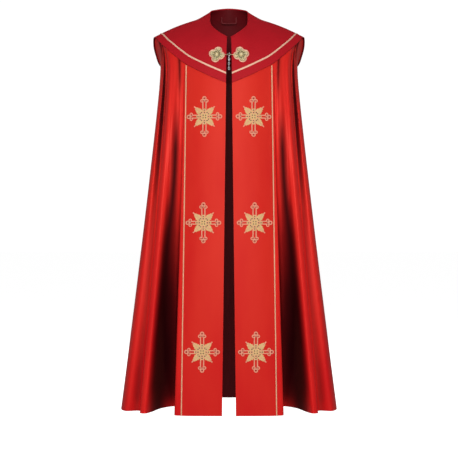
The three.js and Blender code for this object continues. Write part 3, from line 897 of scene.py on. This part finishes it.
def draw_cross():
    """The whole cross as a flat mesh, its arms along x and y."""
    bm = fresh()
    # the star: four serrated leaves that meet at notches beside each arm
    leaf = [
        (28, 7.2), (24.5, 9.6), (29.5, 14.0), (26.6, 15.0), (32.0, 20.2), (29.2, 20.6),
        (34.0, 26.0), (31.8, 26.2), (36.2, 35.2),
    ]
    mirrored = [(y, x) for x, y in reversed(leaf[:-1])]
    outline = []
    for quarter in range(4):
        outline += turned_points([*leaf, *mirrored, (4.6, 17.5), (-4.6, 17.5)], quarter, MM)
    padded_patch(bm, outline, star_height, STAR)
    for quarter, (reach, half_arm) in enumerate(ARMS):
        rail, rails_end, end_bud, side_bud = half_arm - 2.0, reach - 21.5, reach - 7.6, reach - 16.8
        # each cord: its two ends, its runs, and its lift, width, height and sides
        cords = [
            ((side_bud, -5.6), (side_bud, 5.6), 4, 0.6, 2.2, 1.3, 6),
            ((rails_end, 0), (reach - 4.6, 0), 5, 0.6, 1.9, 1.3, 6),
        ]
        for sign in (1, -1):
            cords += [
                ((19.5, sign * rail), (rails_end, sign * rail), 6, 0.7, 4.2, 1.7, 8),
                ((28.5, sign * 28.0), (36.8, sign * 36.0), 4, 1.2, 3.2, 1.7, 6),
                ((9, sign * 8.4), (29.5, sign * 28.6), 6, 1.35, 1.3, 1.0, 6),
            ]
        for start, end, runs, lift, width, height, sides in cords:
            path = line_path(turned_points([start, end], quarter, MM), runs)
            carry(bm, path + (0, 0, lift * MM), width * MM, height * MM, sides=sides, material=OUTLINE)
        for x, y, radius, thick in (
            (end_bud, 0, 5.7, 3.8), (side_bud, 8.6, 4.3, 3.6), (side_bud, -8.6, 4.3, 3.6),
            (14.6, 0, 4.0, 2.0),
        ):
            cx, cy = turned_points([(x, y)], quarter, MM)[0]
            lift = on_star if x < star_reach else on_band
            ring = ring_path(cx, cy, radius * MM) + (0, 0, lift)
            carry(bm, ring, thick * MM, 1.6 * MM, closed=True, material=OUTLINE)
        for x, y in (
            (4.4, 4.4), (14.6, 0), (22.5, 0), (14.5, 9.6), (9.6, 14.5), (reach - 8, 0),
            (reach - 17, 4), (reach - 17, -4),
        ):
            cx, cy = turned_points([(x, y)], quarter, MM)[0]
            lift = on_star if x < star_reach else on_band
            add_ball(bm, (cx, cy, lift), 2.1 * MM, 0.45, KNOT)
    drawn = bpy.data.meshes.new("cross_drawing")
    bm.to_mesh(drawn)
    bm.free()
    return drawn


cross_drawing = draw_cross()
print("cross", len(cross_drawing.vertices), "vertices")


# %% Laying the crosses on the orphreys
def find(surface, x, z, w, t):
    """The w and t at which the surface's front view is at x, z."""
    step = 1e-4
    for _ in range(8):
        here = surface(w, t)
        across, along = (surface(w + step, t) - here) / step, (surface(w, t + step) - here) / step
        dx, dz = x - here[..., 0], z - here[..., 2]
        det = across[..., 0] * along[..., 2] - along[..., 0] * across[..., 2]
        w = w + (dx * along[..., 2] - along[..., 0] * dz) / det
        t = t + (across[..., 0] * dz - dx * across[..., 2]) / det
    return w, t


for number in (1, 2, 3):
    for side, sign in (("right", 1), ("left", -1)):
        node = f"cross_{number}_{side}"
        corner_low, corner_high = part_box(node)
        centre = (corner_low + corner_high) / 2
        bm = bmesh.new()
        bm.from_mesh(cross_drawing)
        drawn = np.array([vertex.co for vertex in bm.verts])
        x, z = abs(centre.x) + sign * drawn[:, 0], centre.z + drawn[:, 1]
        w, t = find(cape_half, x, z, np.full(len(x), 0.02), -z / cape_length)
        points = cape_half(w, t) + outward_of(cape_half, w, t) * (band_face + drawn[:, 2:])
        points[:, 0] *= sign
        for vertex, point in zip(bm.verts, points):
            vertex.co = point
        cross = keep(bm, f"embroidered_{node}", [star_gold, outline_gold, knot_red])
        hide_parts(node)
print("crosses laid on both orphreys")

# %% [markdown]
# ## The clasp
# Two cast plates, each a rounded quatrefoil with a rope border, scrolls and a domed boss,
# are sewn to the yoke. An arm from each ends in an eye, and a ring hangs in the two eyes.


# %% Drawing a clasp plate
def lobed_outline(spread, radius, count=26):
    """A four-lobed outline, as points in order round it."""
    half = spread / math.sqrt(2)
    reach = half + math.sqrt(radius**2 - half**2)
    notch = reach / math.sqrt(2)
    swing = math.atan2(notch, notch - spread)
    turns = np.linspace(-swing, swing, count, endpoint=False)
    lobe = [(spread + radius * math.cos(a), radius * math.sin(a)) for a in turns]
    return [point for quarter in range(4) for point in turned_points(lobe, quarter)]


def scroll(x, y, turn, size, wound=1.15, count=22):
    """The points of a spiral that opens outwards from x, y."""
    part = np.linspace(0, 1, count)
    angle = turn + wound * 2 * np.pi * part
    radius = size * (0.22 + 0.78 * part)
    return list(zip(x + radius * np.cos(angle), y + radius * np.sin(angle)))


def lifted(points, height):
    """Flat points as a path at one height."""
    return np.array([(x, y, height) for x, y in points])


GROUND, RAISED, ROPE = 0, 1, 2
# in one quarter of a plate, in mm: scrolls as x, y, first turn and size, the leaf's stations
# and widths down the middle of the lobe, and beads as x, y and radius
SCROLLS = ((16.4, 3.7, 2.6, 3.4), (12.2, 7.2, 0.4, 2.7), (21.4, 3.0, 3.6, 2.3))
LEAF = ((10, 1.2), (13, 3.4), (17, 2.0), (21, 3.2), (24.4, 1.0))
BEADS = ((25.0, 0, 1.5), (12.6, 12.6, 1.9), (19.0, 7.0, 1.1), (19.0, -7.0, 1.1))


def draw_plate(spread, radius):
    """A plate drawn flat: its ground, a rope border, and raised scrolls, leaves and beads."""
    bm = fresh()
    outline = lobed_outline(spread * MM, radius * MM)
    padded_patch(bm, outline, 1.4 * MM, GROUND, crown=0.1)
    rope = lifted(outline, 1.7 * MM)
    swell = 1 + 0.16 * np.where(np.arange(len(rope)) % 2, 1, -1)
    carry(bm, rope, 4.8 * MM * swell, 3.4 * MM * swell, closed=True, sides=8, material=ROPE)
    inner = lifted(lobed_outline((spread - 1.6) * MM, (radius - 3.2) * MM), 1.7 * MM)
    carry(bm, inner, 1.3 * MM, 1.4 * MM, closed=True, sides=6, material=RAISED)
    hoop = ring_path(0, 0, 8.9 * MM, 36) + (0, 0, 2.0 * MM)
    carry(bm, hoop, 1.6 * MM, 2.0 * MM, closed=True, material=RAISED)
    leaf_widths = np.array([width for _, width in LEAF]) * MM
    for quarter in range(4):
        for sign in (1, -1):
            for x, y, turn, size in SCROLLS:
                curl = [(px, sign * py) for px, py in scroll(x, y, turn, size)]
                path = lifted(turned_points(curl, quarter, MM), 1.9 * MM)
                thick = np.linspace(1.3, 1.9, len(path)) * MM
                carry(bm, path, thick, thick * 1.3, sides=6, material=RAISED)
        leaf = turned_points([(x, 0) for x, _ in LEAF], quarter, MM)
        carry(bm, lifted(leaf, 2.0 * MM), leaf_widths, 1.8 * MM, sides=8, material=RAISED)
        for x, y, size in BEADS:
            cx, cy = turned_points([(x, y)], quarter, MM)[0]
            add_ball(bm, (cx, cy, 1.8 * MM), size * MM, material=RAISED)
    return bm


def draw_boss():
    """A domed boss, turned from a profile, with a ring of small beads."""
    bm = fresh()
    profile = [
        (0.01, 5.0), (1.4, 4.8), (2.8, 4.0), (3.8, 2.8), (4.3, 1.9), (4.9, 1.5), (5.6, 1.9),
        (6.2, 1.3), (6.5, 0.3), (6.0, 0.0), (0.01, 0.0),
    ]
    corners = [bm.verts.new((r * MM, 0, z * MM)) for r, z in profile]
    edges = [bm.edges.new(pair) for pair in zip(corners, corners[1:])]
    bmesh.ops.spin(
        bm, geom=corners + edges, cent=(0, 0, 0), axis=(0, 0, 1), angle=2 * math.pi,
        steps=32, use_merge=True,
    )
    bmesh.ops.remove_doubles(bm, verts=bm.verts, dist=0.03 * MM)
    for spot in ring_path(0, 0, 5.4 * MM, 10):
        add_ball(bm, spot + (0, 0, 2.0 * MM), 0.9 * MM)
    bmesh.ops.recalc_face_normals(bm, faces=bm.faces)
    return bm


# %% Seating the plates, bosses and arms
clasp_tilt, plate_lift, plate_drop, plate_stretch = 0.09, 0.4 * MM, 3 * MM, 1.07
lobe_spread, lobe_radius = 14.2, 12.6  # mm
boss_lift, eye_from_ring, bar_points = 1.2 * MM, 4.7 * MM, 9
bar_root = (20.0 * MM, 0, 2.6 * MM)  # from the plate's middle, towards the opening
ring_low, ring_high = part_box("clasp_ring")
ring_centre = (ring_low + ring_high) / 2
ring_radius, wire_radius, eye_radius = 4.2 * MM, 0.7 * MM, 2.4 * MM


def seat_on_yoke(node, sign):
    """The frame on the yoke's surface behind the middle of a CAD node."""
    a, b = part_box(node)
    middle = (a + b) / 2
    w, t = find(yoke_half, abs(middle.x), middle.z, np.array([0.1]), np.array([0.5]))
    step = np.array([1e-4])
    flip = Vector((sign, 1, 1))
    point = Vector(yoke_half(w, t)[0]) * flip
    outward = Vector(outward_of(yoke, w, t)[0]) * flip
    up = (Vector((yoke_half(w, t) - yoke_half(w, t + step))[0]) * flip).normalized()
    across = up.cross(outward).normalized()
    turn = Matrix((across, up, outward)).transposed().to_4x4()
    return Matrix.Translation(point) @ turn


for side, sign in (("right", 1), ("left", -1)):
    place = seat_on_yoke(f"clasp_plate_{side}", sign)
    place = place @ Matrix.Translation((0, -plate_drop, 0))
    place = place @ Matrix.Diagonal((1, plate_stretch, 1, 1))
    lean = Matrix.Rotation(sign * clasp_tilt, 4, "Z")
    plate = draw_plate(lobe_spread, lobe_radius)
    seat = place @ Matrix.Translation((0, 0, plate_lift))
    bmesh.ops.transform(plate, matrix=seat @ lean, verts=plate.verts)
    plate = keep(plate, f"cast_plate_{side}", [aged_gilt, gilt, rose_gilt])
    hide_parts(f"clasp_plate_{side}")
    boss = draw_boss()
    seat = place @ Matrix.Translation((0, 0, plate_lift + boss_lift))
    bmesh.ops.transform(boss, matrix=seat, verts=boss.verts)
    boss = keep(boss, f"domed_boss_{side}", [gilt])
    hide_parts(f"clasp_boss_{side}")
    arm = fresh()
    eye_centre = ring_centre + Vector((sign * eye_from_ring, 0, 0))
    eye = ring_path(0, 0, eye_radius, 24) + np.array(eye_centre)
    carry(arm, eye, 2 * wire_radius, 2 * wire_radius, closed=True, sides=10)
    root = place @ Vector((-sign * bar_root[0], *bar_root[1:]))
    tip = eye_centre + Vector((sign * eye_radius, 0, 0))
    bar = np.array([root.lerp(tip, part) for part in np.linspace(0, 1, bar_points)])
    widths, heights = (np.linspace(*ends, bar_points) * MM for ends in ((3.2, 1.5), (2.4, 1.4)))
    carry(arm, bar, widths, heights, sides=10)
    arm = keep(arm, f"eye_arm_{side}", [gilt])
    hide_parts(f"clasp_eye_{side}")

# %% [markdown]
# ## The ring and its chain
# A round wire ring joins the two eyes, and six oval links hang from it, each turned a quarter
# from the one above. Each rides on its own body, so each can swing.


# %% Ring and links
def upright(points):
    """Stands a flat path up, facing the front."""
    return points[:, [0, 2, 1]]


bm = fresh()
ring = upright(ring_path(0, 0, ring_radius, 40)) + np.array(ring_centre)
carry(bm, ring, 2 * wire_radius, 2 * wire_radius, up=(0, -1, 0), closed=True, sides=12)
hoop = keep(bm, "joining_ring", [steel], body="ring")
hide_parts("clasp_ring")

link_half_width, link_half_length, link_points = 2.5 * MM, 5.1 * MM, 36
for number in range(1, 7):
    a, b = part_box(f"chain_link_{number}")
    turns = (np.arange(link_points) + 0.5) * 2 * np.pi / link_points
    straight = np.sign(np.sin(turns)) * (link_half_length - link_half_width)
    flat = np.column_stack([
        link_half_width * np.cos(turns), link_half_width * np.sin(turns) + straight, 0 * turns,
    ])
    oval = upright(flat)
    facing = (0, -1, 0)
    if number % 2:
        oval, facing = oval[:, [1, 0, 2]], (1, 0, 0)
    bm = fresh()
    oval = oval + np.array((a + b) / 2)
    carry(bm, oval, 2 * wire_radius, 2 * wire_radius, up=facing, closed=True, sides=10)
    link = keep(bm, f"steel_link_{number}", [steel], body=f"link_{number}")
    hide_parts(f"chain_link_{number}")

# %% [markdown]
# ## The hanging loop
# A short strip of the lining is sewn inside the nape, so that the cope can hang on a hook.

# %% Hanging loop
a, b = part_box("hanging_loop")
half_loop, tape, corner = (b.x - a.x) / 2, 2 * MM, 5 * MM
quarter_turn = np.linspace(0, math.pi / 2, 7)
bend = [(corner - corner * math.cos(k), corner - corner * math.sin(k)) for k in quarter_turn]
left_side = [(0, b.z - a.z), (0, 0.6 * (b.z - a.z)), *bend]
strip = [(x - half_loop + tape / 2, z + tape / 2) for x, z in left_side]
strip += [(-x, z) for x, z in reversed(strip)]
path = np.array([(x, (a.y + b.y) / 2, min(a.z + z, b.z)) for x, z in strip])
bm = fresh()
carry(bm, path, b.y - a.y, tape * 0.9, up=(0, -1, 0), sides=12)
loop = keep(bm, "nape_loop", [lining_red])
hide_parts("hanging_loop")

# %% [markdown]
# ## The floor
# A plain pale floor lies under the hem, out of the cape's way.

# %% Floor
floor_radius, floor_below_hem = 40, 0.17
bm = bmesh.new()
bmesh.ops.create_circle(bm, cap_ends=True, segments=96, radius=floor_radius)
bmesh.ops.translate(bm, vec=(0, 0, cad_box[0].z - floor_below_hem), verts=bm.verts)
floor_mesh = bpy.data.meshes.new("floor")
bm.to_mesh(floor_mesh)
bm.free()
floor = bpy.data.objects.new("floor", floor_mesh)
bpy.context.scene.collection.objects.link(floor)
pale = Finish("pale_floor", Roughness=0.9, Emission_Strength=0.85)
pale.shader.inputs["Base Color"].default_value = (0.9, 0.9, 0.9, 1)
pale.shader.inputs["Emission Color"].default_value = (1, 1, 1, 1)
floor.visible_diffuse = floor.visible_glossy = False
floor_mesh.materials.append(pale.material)
